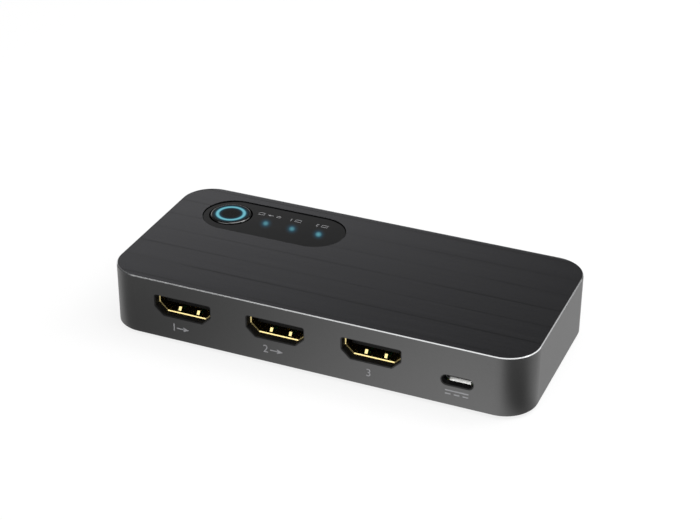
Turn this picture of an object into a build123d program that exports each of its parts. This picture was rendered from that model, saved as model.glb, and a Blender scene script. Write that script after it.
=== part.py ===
"""A small video splitter: two output sockets, one input socket and a power socket in a metal box.

Millimetres. X runs right along the socket face, Y from that face to the back, and Z up. The origin
is the centre of the plan, at the level of the feet's soles.
"""

from build123d import *

import os
from math import cos, radians, sin

# Housing: one aluminium shell, open below
housing_width = 106.0
housing_depth = 48.5
housing_height = 15.5
corner_radius = 8.0
wall = 1.5
rim_chamfer = 0.19
rim_lip = 0.08
lower_edge_break = 0.25
deck_thickness = 1.5

# Top plate and the tape under it
plate_thickness = 0.5
plate_drop = 0.08
plate_gap = 0.05
tape_thickness = 0.1
tape_inset = 0.4

# Indicator window
window_length = 37.8
window_width = 15.4
window_thickness = 0.9
window_drop = 0.25
window_gap = 0.1
window_left_inset = 8.35
window_back_inset = 3.85
window_edge_radius = 0.15
window_hole_radius = 5.55

# Lamps beside the button, along the window
lamp_first_x = 10.05
lamp_pitch = 7.2
lamp_row_y = -0.8
lamp_count = 3

# Corner bosses for the cover's screws and inner bosses for the board's screws
corner_boss_radius = 2.7
corner_boss_gap = 2.4
board_boss_radius = 2.4
board_boss_front = 6.0
board_boss_back = 5.0
board_boss_beside_socket = 3.125
board_boss_beside_lamps = 5.0
board_boss_side = 10.0
pilot_radius = 0.85
pilot_depth = 6.5

# Sockets along the face, spaced as shares of the housing's width
video_middle_share = -0.0797
video_pitch_share = 0.2264
power_share = 0.3434
video_count = 3
socket_gap = 0.1

# Video socket cavity: a D lying down, its wide side up
video_width = 14.0
video_height = 4.55
video_side = 2.6
video_flat = 9.9
video_length = 11.0
video_lift = 1.0
video_corner = 0.35
shell_thickness = 0.3
shell_flare = 0.22
shell_flare_depth = 0.18
shell_leg_width = 1.4
shell_leg_inset = 2.2
shell_leg_below = 0.6

# Retention springs in the floor and roof of a video shell
spring_offset = 2.43
spring_width = 0.68
spring_slot = 1.6
spring_front = 1.0
spring_ramp = 0.58
spring_rise = 0.8
spring_length = 5.6
spring_thickness = 0.2
spring_slot_end = 0.35

# Video tongue, its block and its contacts
tongue_width = 11.6
tongue_thickness = 1.1
tongue_setback = 1.1
tongue_bevel = 0.2
block_length = 2.6
block_gap = 0.03
block_cap = 1.2
upper_contacts = 10
lower_contacts = 9
contact_pitch = 1.0
contact_width = 0.36
contact_thickness = 0.15
contact_proud = 0.02
contact_tip = 0.5
contact_foot = 0.8

# Power socket
power_width = 6.9
power_height = 1.85
power_side = 0.95
power_flat = 5.5
power_length = 5.0
power_corner = 0.35
power_lift = 0.32
power_slot_side = 0.32
power_slot_over = 0.295
power_slot_drop = 0.2
power_shell_thickness = 0.25
power_lip_width = 5.1
power_lip_reach = 0.62
power_lip_drop = 0.74
power_leg_width = 1.0
power_tongue_width = 3.8
power_tongue_thickness = 0.6
power_tongue_setback = 1.4
power_tongue_lift = 0.95
power_block_length = 1.4
power_contact_count = 5
power_contact_pitch = 0.65
power_contact_width = 0.3
power_contact_thickness = 0.12
power_contact_foot = 0.7

# Liner of the socket cut-outs
liner_thickness = 0.2
liner_plate = 0.5
liner_clear = 0.25
liner_fit = 0.03
liner_setback = 0.12
liner_end_gap = 1.4
liner_edge_gap = 0.2
liner_corner = 0.45

# Bottom cover, its screws and the feet
cover_thickness = 1.5
cover_setback = 0.1
cover_gap = 0.12
cover_hole_radius = 1.15
counterbore_radius = 2.0
counterbore_depth = 0.85
cover_rib_width = 1.2
cover_rib_height = 0.6
cover_rib_inset = 9.0
foot_radius = 4.0
foot_stand = 0.8
foot_recess = 0.4
foot_gap = 0.08
foot_edge = 0.3
foot_inset_x = 14.0
foot_inset_y = 9.0

# Screws
screw_radius = 0.8
screw_head_radius = 1.75
screw_head_height = 0.75
screw_length = 5.5
screw_point = 0.3
recess_arm = 2.0
recess_width = 0.45
recess_depth = 0.4

# Circuit board, and how far up its spare room it stands
board_lift_share = 0.426
board_thickness = 1.6
board_gap = 0.4
board_notch_gap = 0.5
board_hole_radius = 1.1
board_slot_gap = 0.12

# Push button
button_left_of_end = 0.85
button_behind_middle = 0.3
button_radius = 5.15
button_proud = 0.32
button_skin = 0.7
button_skirt = 0.6
button_edge = 0.4
button_stop_gap = 0.02
button_flange_radius = 6.6
button_flange_height = 0.8
ring_outer_radius = 3.8
ring_inner_radius = 3.0
guide_plate = 0.8
guide_fit = 0.05
stem_radius = 1.5
press_gap = 0.02

# Push switch under the button
switch_side = 6.0
switch_base_height = 3.2
switch_cover_thickness = 0.3
switch_height = 4.3
switch_floor = 0.8
switch_cavity_radius = 2.45
switch_hole_radius = 1.82
plunger_radius = 1.75
plunger_flange_radius = 2.1
plunger_flange = 0.6
plunger_nub_radius = 0.9
dome_radius = 2.2
dome_rise = 0.5
dome_thickness = 0.08
terminal_width = 0.7
terminal_thickness = 0.25
terminal_rise = 1.0
terminal_below = 0.8
terminal_offset = 2.25

# Light shroud, light pipes and lamps
shroud_wall = 0.8
shroud_bore_gap = 0.08
shroud_bar_width = 5.0
shroud_bar_end = 2.4
shroud_peg_radius = 0.6
shroud_peg_length = 1.2
shroud_peg_gap = 0.05
pipe_radius = 1.0
pipe_gap = 0.08
pipe_head_radius = 1.35
pipe_head_height = 0.6
pipe_tip_radius = 0.9
pipe_tip_gap = 0.06
pipe_above_lamp = 0.15
lamp_length = 1.6
lamp_width = 0.8
lamp_base = 0.3
lamp_lens_length = 1.0
lamp_lens = 0.3
lamp_pocket_radius = 1.4
lamp_pocket_height = 1.3
ring_lamp_radius = 4.75

# Main chip with its heat sink
chip_side = 12.0
chip_body_height = 1.2
chip_lift = 0.1
chip_leads_per_side = 12
lead_pitch = 0.8
lead_width = 0.35
lead_thickness = 0.15
lead_reach = 1.0
lead_foot = 0.5
pad_side = 11.0
pad_thickness = 0.4
sink_side = 14.0
sink_base = 1.2
sink_fins = 7
sink_fin_thickness = 0.8
sink_headroom = 1.47

# Other parts on the board
memory_length = 5.0
memory_width = 4.0
memory_height = 1.4
memory_leads = 4
memory_lead_pitch = 1.27
regulator_length = 6.5
regulator_width = 3.5
regulator_height = 1.5
regulator_tab = 3.0
regulator_leads = 3
regulator_lead_pitch = 2.3
regulator_behind = 4.0
inductor_side = 6.0
inductor_height = 2.8
inductor_core_radius = 2.4
inductor_core_proud = 0.2
inductor_corner = 1.2
inductor_behind = 11.5
crystal_length = 11.0
crystal_width = 4.6
crystal_height = 3.4
crystal_flange = 0.4
crystal_flange_reach = 0.4
crystal_behind_cans = 2.15
can_base_side = 5.0
can_base_height = 0.8
can_radius = 2.3
can_height = 4.4
can_crown = 0.3
can_step = 6.2
can_count = 2
can_gap = 1.4
can_behind = 7.0
chip_part_length = 1.6
chip_part_width = 0.8
chip_part_height = 0.45
capacitor_height = 0.8
chip_part_pitch = 1.8
resistor_count = 14
resistor_gap = 0.9
capacitor_count = 10
choke_length = 2.0
choke_width = 1.2
choke_height = 0.9
choke_count = 4
choke_pitch = 3.0
array_length = 2.5
array_width = 1.0
array_height = 0.6
array_count = 2
array_pitch = 5.0

# Gaps before the rows behind the sockets, and before the parts from the lamps to the right wall
row_gap_shares = (0.083, 0.107, 0.021, 0.198, 0.182)
column_gap_shares = (0.245, 0.0937, 0.1285)

# How far a cutting tool runs past what it cuts
overrun = 1.0

# Quarter of a turn, in degrees
quarter_turn = 90


def spread(start, end, sizes, gap_shares):
    """Middles of parts in a row, the gap before each being a share of the room that they leave."""
    spare = end - start - sum(sizes)
    middles = []
    edge = start
    for size, share in zip(sizes, gap_shares):
        edge += share * spare
        middles.append(edge + size / 2)
        edge += size
    return middles


# Levels
housing_bottom = foot_stand
housing_top = housing_bottom + housing_height
plate_top = housing_top - plate_drop
recess_floor = plate_top - plate_thickness - tape_thickness
deck_under = recess_floor - deck_thickness
window_top = plate_top - window_drop
window_under = window_top - window_thickness
pocket_floor = window_under - tape_thickness
cover_under = housing_bottom + cover_setback
cover_top = cover_under + cover_thickness
socket_stack = video_lift + video_height + 2 * shell_thickness
board_spare = deck_under - cover_top - terminal_below - board_thickness - socket_stack
board_under = cover_top + terminal_below + board_lift_share * board_spare
board_top = board_under + board_thickness
lamp_top = board_top + lamp_base + lamp_lens

# Plan of the housing and the board
front_face = -housing_depth / 2
inner_half_width = housing_width / 2 - wall
inner_half_depth = housing_depth / 2 - wall
inner_radius = corner_radius - wall
rim = rim_chamfer + rim_lip
liner_back = front_face + wall + liner_plate
socket_front = liner_back + socket_gap
board_half_width = inner_half_width - board_gap
board_front = socket_front + board_gap
board_back = inner_half_depth - board_gap
corner_reach = (inner_radius - corner_boss_gap) * sin(radians(45))
corner_x = housing_width / 2 - corner_radius + corner_reach
corner_y = housing_depth / 2 - corner_radius + corner_reach
corner_places = [(sx * corner_x, sy * corner_y) for sx in (-1, 1) for sy in (-1, 1)]

# Sockets
video_places = [
    housing_width * (video_middle_share + (k - (video_count - 1) / 2) * video_pitch_share)
    for k in range(video_count)
]
power_x = housing_width * power_share
video_z = board_top + video_lift + shell_thickness + video_height / 2
power_z = board_top + power_lift + power_shell_thickness + power_height / 2
power_floor = power_z - power_height / 2
video_rear = socket_front + video_length
sockets_end = video_rear + block_cap + contact_foot
power_rear = socket_front + power_length

# Window, button and lamps
window_opening_width = window_width + 2 * window_gap
window_opening_length = window_length + 2 * window_gap
window_x = -housing_width / 2 + window_left_inset + window_length / 2
window_y = housing_depth / 2 - window_back_inset - window_width / 2
button_x = window_x - (window_length - window_width) / 2 - button_left_of_end
button_y = window_y + button_behind_middle
button_top = window_top + button_proud
button_floor = board_top + switch_height + press_gap
lamp_y = button_y + lamp_row_y
lamp_places = [(button_x + lamp_first_x + k * lamp_pitch, lamp_y) for k in range(lamp_count)]
pipe_tip_hole = pipe_tip_radius + pipe_tip_gap
shroud_bore = button_flange_radius + shroud_bore_gap
shroud_radius = shroud_bore + shroud_wall
shroud_right = lamp_places[-1][0] + shroud_bar_end
shroud_peg_places = [((a[0] + b[0]) / 2, lamp_y) for a, b in zip(lamp_places, lamp_places[1:])]
ring_lamp_turns = [k * quarter_turn for k in range(4)]
ring_lamp_places = [
    (button_x + ring_lamp_radius * cos(radians(t)), button_y + ring_lamp_radius * sin(radians(t)), t)
    for t in ring_lamp_turns
]

# Bosses that carry the board
video_half = video_width / 2 + shell_thickness
board_boss_places = [
    ((video_places[0] + video_places[1]) / 2, board_front + board_boss_front),
    (video_places[-1] + video_half + board_boss_beside_socket, board_front + board_boss_front),
    (shroud_right + board_boss_beside_lamps, board_back - board_boss_back),
    (board_half_width - board_boss_side, board_back - board_boss_back),
]
foot_places = [
    (sx * (housing_width / 2 - foot_inset_x), sy * (housing_depth / 2 - foot_inset_y))
    for sx in (-1, 1)
    for sy in (-1, 1)
]

# Parts on the board
chip_span = chip_side + 2 * lead_reach
crystal_flange_length = crystal_length + 2 * crystal_flange_reach
crystal_flange_width = crystal_width + 2 * crystal_flange_reach
row_depths = (choke_width, array_width, chip_part_length, chip_span, chip_part_length)
row_places = spread(sockets_end, board_back, row_depths, row_gap_shares)
choke_y, array_y, resistor_y, chip_y, capacitor_y = row_places
column_widths = (memory_length, chip_span, crystal_flange_width)
memory_x, chip_x, crystal_x = spread(shroud_right, board_half_width, column_widths, column_gap_shares)
can_x = power_x - inductor_side / 2 - can_gap - can_base_side / 2
can_places = [(can_x, power_rear + can_behind + k * can_step) for k in range(can_count)]
crystal_y = can_places[-1][1] + can_base_side / 2 + crystal_behind_cans + crystal_flange_length / 2
resistor_row = (resistor_count - 1) * chip_part_pitch + chip_part_width
resistor_x = can_x - can_base_side / 2 - resistor_gap - resistor_row / 2

low = (Align.CENTER, Align.CENTER, Align.MIN)


def block(x, y, z, size_x, size_y, size_z):
    """A box centred on x and y, standing on z."""
    return Pos(x, y, z) * Box(size_x, size_y, size_z, align=low)


def post(x, y, z, radius, height):
    """A round post standing on z."""
    return Pos(x, y, z) * Cylinder(radius, height, align=low)


def bore(x, y, z, radius, height):
    """A round cutting tool that runs past both ends of its hole."""
    return post(x, y, z - overrun, radius, height + 2 * overrun)


def slab(outline, x, y, z, thickness):
    """A flat outline raised upwards from z."""
    return extrude(Pos(x, y, z) * outline, thickness)


def forward_prism(outline, x, rear, z, length):
    """An outline in X and Z, drawn from rear towards the socket face."""
    forward = (0, -1, 0)
    plane = Plane(origin=(x, rear, z), x_dir=(1, 0, 0), z_dir=forward)
    return extrude(plane * outline, length, dir=forward)


def side_prism(points, x, width):
    """An outline of Y and Z points, drawn along X and centred on x."""
    across = (1, 0, 0)
    plane = Plane(origin=(x - width / 2, 0, 0), x_dir=(0, 1, 0), z_dir=across)
    return extrude(plane * Polygon(*points, align=None), width, dir=across)


def socket_outline(width, height, side, flat, grow, corner):
    """A socket's D, wide side up: its cavity grown outwards all round."""
    points = (
        (-width / 2, height / 2),
        (-width / 2, height / 2 - side),
        (-flat / 2, -height / 2),
        (flat / 2, -height / 2),
        (width / 2, height / 2 - side),
        (width / 2, height / 2),
    )
    outline = Polygon(*points, align=None)
    if grow:
        outline = offset(outline, grow, kind=Kind.INTERSECTION)
    return fillet(outline.vertices(), corner)


def video_outline(grow, corner=video_corner):
    return socket_outline(video_width, video_height, video_side, video_flat, grow, corner)


def power_outline(grow, corner=power_corner):
    return socket_outline(power_width, power_height, power_side, power_flat, grow, corner)


def power_slot(grow):
    """The round-ended cut-out of the power socket, grown outwards all round."""
    length = power_width + 2 * (power_slot_side + grow)
    height = power_height + 2 * (power_slot_over + grow)
    return SlotOverall(length, height)


def through_sockets(grow, corner, rear, length):
    """A tool for each socket's cut-out, grown outwards all round."""
    video = video_outline(liner_clear + grow, corner)
    tools = [forward_prism(video, x, rear, video_z, length) for x in video_places]
    tools.append(forward_prism(power_slot(grow), power_x, rear, power_z - power_slot_drop, length))
    return tools


def save(name, shape):
    """Writes one piece, or one group of like pieces, to its own file."""
    shape.label = name
    export_step(shape, f"parts/{name}.step")
    print(name, len(shape.solids()), "solids, volume", round(shape.volume, 3))


def make_housing():
    outline = RectangleRounded(housing_width, housing_depth, corner_radius)
    envelope = slab(outline, 0, 0, housing_bottom, housing_height)
    body = chamfer(envelope.edges().group_by(Axis.Z)[-1], rim_chamfer)
    body = chamfer(body.edges().group_by(Axis.Z)[0], lower_edge_break)
    recess = RectangleRounded(housing_width - 2 * rim, housing_depth - 2 * rim, corner_radius - rim)
    body -= slab(recess, 0, 0, recess_floor, housing_top - recess_floor + overrun)
    inside = RectangleRounded(2 * inner_half_width, 2 * inner_half_depth, inner_radius)
    body -= slab(inside, 0, 0, housing_bottom - overrun, deck_under - housing_bottom + overrun)
    for x, y in corner_places:
        body += post(x, y, cover_top, corner_boss_radius, deck_under - cover_top) & envelope
        body -= post(x, y, cover_top - overrun, pilot_radius, pilot_depth + overrun)
    for x, y in board_boss_places:
        body += post(x, y, board_top, board_boss_radius, deck_under - board_top)
        body -= post(x, y, board_top - overrun, pilot_radius, pilot_depth + overrun)
    pocket = SlotOverall(window_opening_length, window_opening_width)
    body -= slab(pocket, window_x, window_y, pocket_floor, housing_top - pocket_floor)
    floor_thickness = pocket_floor - deck_under
    body -= bore(button_x, button_y, deck_under, window_hole_radius, floor_thickness)
    for x, y in lamp_places:
        body -= bore(x, y, deck_under, pipe_tip_hole, floor_thickness)
    cuts = through_sockets(
        liner_thickness + liner_fit,
        liner_corner + liner_thickness,
        front_face + wall + overrun,
        wall + 2 * overrun,
    )
    for cut in cuts:
        body -= cut
    return body


def make_top_plate():
    width = housing_width - 2 * (rim + plate_gap)
    depth = housing_depth - 2 * (rim + plate_gap)
    outline = RectangleRounded(width, depth, corner_radius - rim - plate_gap)
    outline -= Pos(window_x, window_y) * SlotOverall(window_opening_length, window_opening_width)
    return slab(outline, 0, 0, plate_top - plate_thickness, plate_thickness)


def make_plate_adhesive():
    edge = rim + plate_gap + tape_inset
    outline = RectangleRounded(housing_width - 2 * edge, housing_depth - 2 * edge, corner_radius - edge)
    opening = SlotOverall(window_opening_length + 2 * tape_inset, window_opening_width + 2 * tape_inset)
    outline -= Pos(window_x, window_y) * opening
    return slab(outline, 0, 0, recess_floor, tape_thickness)


def make_window():
    outline = SlotOverall(window_length, window_width)
    body = slab(outline, window_x, window_y, window_under, window_thickness)
    body = fillet(body.edges().group_by(Axis.Z)[-1], window_edge_radius)
    return body - bore(button_x, button_y, window_under, window_hole_radius, window_thickness)


def make_window_adhesive():
    outline = SlotOverall(window_length - 2 * tape_inset, window_width - 2 * tape_inset)
    outline = Pos(window_x, window_y) * outline
    outline -= Pos(button_x, button_y) * Circle(window_hole_radius + tape_inset)
    for x, y in lamp_places:
        outline -= Pos(x, y) * Circle(pipe_tip_hole + tape_inset)
    return slab(outline, 0, 0, pocket_floor, tape_thickness)


def make_port_liner():
    """A plate behind the front wall, with a collar through each cut-out and the sockets behind it."""
    half_length = corner_x - corner_boss_radius - liner_end_gap
    floor = cover_top + liner_edge_gap
    height = deck_under - liner_edge_gap - floor
    body = block(0, liner_back - liner_plate / 2, floor, 2 * half_length, liner_plate, height)
    collar_length = wall - liner_setback
    collars = through_sockets(
        liner_thickness, liner_corner + liner_thickness, front_face + wall, collar_length
    )
    passages = through_sockets(0, liner_corner, liner_back + overrun, wall + liner_plate + 2 * overrun)
    for collar in collars:
        body += collar
    for passage in passages:
        body -= passage
    return body


def make_video_spring(x, upward):
    """A strip cut from a shell's floor or roof and bent into the cavity, its free end to the front."""
    root = video_z - upward * (video_height / 2 + shell_thickness)
    tip_y = socket_front + spring_front
    crest_y = tip_y + spring_ramp
    crest = root + upward * spring_rise
    thick = upward * spring_thickness
    points = (
        (tip_y, root),
        (crest_y, crest),
        (tip_y + spring_length, root),
        (tip_y + spring_length, root + thick),
        (crest_y, crest + thick),
        (tip_y, root + thick),
    )
    return side_prism(points, x, spring_width)


def video_flare(x):
    """The tool that bevels the inner edge of a shell's mouth, to lead the plug in."""
    sections = []
    for y, grow in ((socket_front, shell_flare), (socket_front + shell_flare_depth, 0)):
        plane = Plane(origin=(x, y, video_z), x_dir=(1, 0, 0), z_dir=(0, -1, 0))
        sections.append(plane * video_outline(grow))
    return loft(sections, ruled=True)


def make_video_shell(x):
    outside = video_outline(shell_thickness, video_corner + shell_thickness)
    cavity = video_outline(0)
    body = forward_prism(outside, x, video_rear, video_z, video_length)
    body -= forward_prism(cavity, x, video_rear + overrun, video_z, video_length + 2 * overrun)
    body -= video_flare(x)
    slot_front = socket_front + spring_front - spring_slot_end
    slot_rear = socket_front + spring_front + spring_length - spring_slot_end
    for side in (-1, 1):
        for upward in (-1, 1):
            middle = video_z - upward * (video_height + shell_thickness) / 2
            slot = block(
                x + side * spring_offset,
                (slot_front + slot_rear) / 2,
                middle - shell_thickness,
                spring_slot,
                slot_rear - slot_front,
                2 * shell_thickness,
            )
            body -= slot
            body += make_video_spring(x + side * spring_offset, upward)
    return body + shell_legs(x)


def shell_leg_places(x):
    across = (video_width + shell_thickness) / 2
    rows = (socket_front + shell_leg_inset, video_rear - shell_leg_inset)
    return [(x + side * across, y) for side in (-1, 1) for y in rows]


def shell_legs(x):
    foot = board_under - shell_leg_below
    legs = [
        block(px, py, foot, shell_thickness, shell_leg_width, video_z - foot)
        for px, py in shell_leg_places(x)
    ]
    return legs[0] + legs[1:]


def make_video_contacts(x):
    """Two rows of strips on the tongue, each down through the block to a foot on the board."""
    tip = socket_front + tongue_setback + contact_tip
    riser = video_rear + block_cap / 2
    end = video_rear + block_cap + contact_foot
    strips = []
    for count, side in ((upper_contacts, 1), (lower_contacts, -1)):
        surface = video_z + side * tongue_thickness / 2
        outside = surface + side * contact_proud
        inside = outside - side * contact_thickness
        floor = min(outside, inside)
        for k in range(count):
            px = x + (k - (count - 1) / 2) * contact_pitch
            run = block(px, (tip + riser) / 2, floor, contact_width, riser - tip, contact_thickness)
            drop = block(
                px,
                riser - contact_thickness / 2,
                board_top,
                contact_width,
                contact_thickness,
                floor + contact_thickness - board_top,
            )
            foot = block(
                px,
                (riser - contact_thickness + end) / 2,
                board_top,
                contact_width,
                end - riser + contact_thickness,
                contact_thickness,
            )
            strips.append(run + drop + foot)
    return Compound(children=[s.solid() for s in strips])


def make_video_tongue(x, contacts):
    """The tongue with the block behind it, cut to let the contacts lie in it."""
    tip = socket_front + tongue_setback
    block_front = video_rear - block_length
    half = tongue_thickness / 2
    points = (
        (tip, video_z - half + tongue_bevel),
        (tip, video_z + half - tongue_bevel),
        (tip + tongue_bevel, video_z + half),
        (block_front + block_length / 2, video_z + half),
        (block_front + block_length / 2, video_z - half),
        (tip + tongue_bevel, video_z - half),
    )
    body = side_prism(points, x, tongue_width)
    body += forward_prism(video_outline(-block_gap), x, video_rear, video_z, block_length)
    cap_top = video_z + video_height / 2
    body += block(x, video_rear + block_cap / 2, board_top, video_width, block_cap, cap_top - board_top)
    return body - contacts


def make_power_shell():
    """The power socket's shell, with the front of its floor bent down as a lip."""
    outside = power_outline(power_shell_thickness, power_corner + power_shell_thickness)
    cavity = power_outline(0)
    cut_length = power_length + 2 * overrun
    body = forward_prism(outside, power_x, power_rear, power_z, power_length)
    body -= forward_prism(cavity, power_x, power_rear + overrun, power_z, cut_length)
    under = power_floor - power_shell_thickness
    lip_rear = socket_front + power_lip_reach
    body -= block(
        power_x,
        (socket_front - overrun + lip_rear) / 2,
        under - overrun,
        power_lip_width,
        power_lip_reach + overrun,
        power_shell_thickness + 2 * overrun,
    )
    lip = (
        (socket_front, power_floor - power_lip_drop),
        (lip_rear, power_floor),
        (lip_rear + power_shell_thickness, power_floor),
        (lip_rear + power_shell_thickness, under),
        (lip_rear, under),
        (socket_front, under - power_lip_drop),
    )
    body += side_prism(lip, power_x, power_lip_width)
    foot = board_under - shell_leg_below
    for px, py in power_leg_places():
        body += block(px, py, foot, power_shell_thickness, power_leg_width, power_z - foot)
    return body


def power_leg_places():
    across = (power_width + power_shell_thickness) / 2
    rows = (socket_front + power_length / 4, power_rear - power_length / 4)
    return [(power_x + side * across, y) for side in (-1, 1) for y in rows]


def make_power_contacts():
    tip = socket_front + power_tongue_setback + contact_tip
    end = power_rear + power_contact_foot
    middle = power_floor + power_tongue_lift
    floor = middle - power_tongue_thickness / 2 - contact_proud
    riser = power_rear - power_block_length / 2
    strips = []
    for k in range(power_contact_count):
        px = power_x + (k - (power_contact_count - 1) / 2) * power_contact_pitch
        run = block(px, (tip + riser) / 2, floor, power_contact_width, riser - tip, power_contact_thickness)
        low_z = power_floor + contact_proud
        drop = block(
            px,
            riser - power_contact_thickness / 2,
            low_z,
            power_contact_width,
            power_contact_thickness,
            floor + power_contact_thickness - low_z,
        )
        out = block(
            px,
            (riser - power_contact_thickness + end) / 2,
            low_z,
            power_contact_width,
            end - riser + power_contact_thickness,
            power_contact_thickness,
        )
        foot = block(
            px,
            end - power_contact_thickness / 2,
            board_top,
            power_contact_width,
            power_contact_thickness,
            low_z + power_contact_thickness - board_top,
        )
        strips.append(run + drop + out + foot)
    return Compound(children=[s.solid() for s in strips])


def make_power_tongue(contacts):
    tip = socket_front + power_tongue_setback
    middle = power_floor + power_tongue_lift
    block_front = power_rear - power_block_length
    length = block_front + power_block_length / 2 - tip
    body = block(
        power_x,
        tip + length / 2,
        middle - power_tongue_thickness / 2,
        power_tongue_width,
        length,
        power_tongue_thickness,
    )
    body += forward_prism(power_outline(-block_gap), power_x, power_rear, power_z, power_block_length)
    return body - contacts


def make_bottom_cover():
    width = 2 * (inner_half_width - cover_gap)
    depth = 2 * (inner_half_depth - cover_gap)
    outline = RectangleRounded(width, depth, inner_radius - cover_gap)
    body = slab(outline, 0, 0, cover_under, cover_thickness)
    for x, y in corner_places:
        body -= bore(x, y, cover_under, cover_hole_radius, cover_thickness)
        body -= post(x, y, cover_under - overrun, counterbore_radius, counterbore_depth + overrun)
    for x, y in foot_places:
        body -= post(x, y, cover_under - overrun, foot_radius + foot_gap, foot_recess + overrun)
    rib_length = 2 * (corner_x - cover_rib_inset)
    for side in (-1, 1):
        y = side * (inner_half_depth - cover_rib_inset)
        body += block(0, y, cover_top, rib_length, cover_rib_width, cover_rib_height)
    return body


def make_foot(x, y):
    top = cover_under + foot_recess
    body = post(x, y, 0, foot_radius, top)
    return fillet(body.edges().group_by(Axis.Z)[0], foot_edge)


def make_screw(x, y, seat):
    """A cross-recess screw driven upwards: its head hangs under seat."""
    head = post(x, y, seat - screw_head_height, screw_head_radius, screw_head_height)
    for turn in (0, quarter_turn):
        arm = Rot(0, 0, turn) * Box(recess_arm, recess_width, recess_depth, align=low)
        head -= Pos(x, y, seat - screw_head_height) * arm
    shank = post(x, y, seat, screw_radius, screw_length)
    shank = chamfer(shank.edges().group_by(Axis.Z)[-1], screw_point)
    return (head + shank).solid()


def make_circuit_board():
    depth = board_back - board_front
    middle = (board_front + board_back) / 2
    body = block(0, middle, board_under, 2 * board_half_width, depth, board_thickness)
    reach = corner_boss_radius + board_notch_gap
    past = board_half_width + overrun
    for x, y in corner_places:
        side_x, side_y = (1 if x > 0 else -1), (1 if y > 0 else -1)
        edge_x, edge_y = x - side_x * reach, y - side_y * reach
        far_x, far_y = side_x * past, side_y * (inner_half_depth + overrun)
        notch = block(
            (edge_x + far_x) / 2,
            (edge_y + far_y) / 2,
            board_under - overrun,
            abs(far_x - edge_x),
            abs(far_y - edge_y),
            board_thickness + 2 * overrun,
        )
        body -= notch
    for x, y in board_boss_places:
        body -= bore(x, y, board_under, board_hole_radius, board_thickness)
    for x, y in shroud_peg_places:
        body -= bore(x, y, board_under, shroud_peg_radius + shroud_peg_gap, board_thickness)
    slots = [(p, shell_thickness, shell_leg_width) for x in video_places for p in shell_leg_places(x)]
    slots += [(p, power_shell_thickness, power_leg_width) for p in power_leg_places()]
    slots += [(p, terminal_thickness, terminal_width) for p in terminal_places()]
    through = board_thickness + 2 * overrun
    for (x, y), size_x, size_y in slots:
        slot_x = size_x + 2 * board_slot_gap
        slot_y = size_y + 2 * board_slot_gap
        body -= block(x, y, board_under - overrun, slot_x, slot_y, through)
    return body


def make_button_cap():
    floor = deck_under - button_stop_gap - button_flange_height
    body = post(button_x, button_y, floor, button_radius, button_top - floor)
    body = fillet(body.edges().group_by(Axis.Z)[-1], button_edge)
    body += post(button_x, button_y, floor, button_flange_radius, button_flange_height)
    inside = button_radius - button_skirt
    body -= post(button_x, button_y, floor - overrun, inside, button_top - button_skin - floor + overrun)
    return body - post(button_x, button_y, floor, ring_outer_radius, button_top - floor + overrun)


def make_light_ring():
    """Clear ring, the plate that carries it, and the stem that presses the switch."""
    plate_z = button_top - button_skin - guide_plate
    radius = button_radius - button_skirt - guide_fit
    body = post(button_x, button_y, plate_z, radius, guide_plate)
    ring = post(button_x, button_y, plate_z, ring_outer_radius - guide_fit, button_top - plate_z)
    well = post(button_x, button_y, plate_z + guide_plate, ring_inner_radius, button_skin + overrun)
    body += ring - well
    return body + post(button_x, button_y, button_floor, stem_radius, plate_z - button_floor)


def make_button_centre():
    z = button_top - button_skin
    return post(button_x, button_y, z, ring_inner_radius - guide_fit, button_skin)


def make_switch_base():
    body = block(button_x, button_y, board_top, switch_side, switch_side, switch_base_height)
    cavity = switch_base_height - switch_floor
    return body - post(button_x, button_y, board_top + switch_floor, switch_cavity_radius, cavity + overrun)


def make_switch_cover():
    z = board_top + switch_base_height
    body = block(button_x, button_y, z, switch_side, switch_side, switch_cover_thickness)
    return body - bore(button_x, button_y, z, switch_hole_radius, switch_cover_thickness)


def make_switch_plunger():
    top = board_top + switch_height
    flange_top = board_top + switch_base_height - press_gap
    flange_z = flange_top - plunger_flange
    nub_z = board_top + switch_floor + dome_rise + press_gap
    body = post(button_x, button_y, flange_z, plunger_flange_radius, plunger_flange)
    body += post(button_x, button_y, flange_z, plunger_radius, top - flange_z)
    return body + post(button_x, button_y, nub_z, plunger_nub_radius, flange_z - nub_z)


def make_switch_dome():
    """A thin domed disc standing on its rim in the switch."""
    floor = board_top + switch_floor
    inner_rise = dome_rise - dome_thickness
    inner_rim = dome_radius - dome_thickness
    outer_sphere = (dome_radius**2 + dome_rise**2) / (2 * dome_rise)
    inner_sphere = (inner_rim**2 + inner_rise**2) / (2 * inner_rise)
    outer = Pos(button_x, button_y, floor + dome_rise - outer_sphere) * Sphere(outer_sphere)
    inner = Pos(button_x, button_y, floor + inner_rise - inner_sphere) * Sphere(inner_sphere)
    keep = post(button_x, button_y, floor, dome_radius, dome_rise)
    return (outer - inner) & keep


def terminal_places():
    across = (switch_side + terminal_thickness) / 2
    return [
        (button_x + sx * across, button_y + sy * terminal_offset) for sx in (-1, 1) for sy in (-1, 1)
    ]


def make_switch_terminals():
    foot = board_under - terminal_below
    height = board_top + terminal_rise - foot
    legs = [
        block(x, y, foot, terminal_thickness, terminal_width, height).solid()
        for x, y in terminal_places()
    ]
    return Compound(children=legs)


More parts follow.
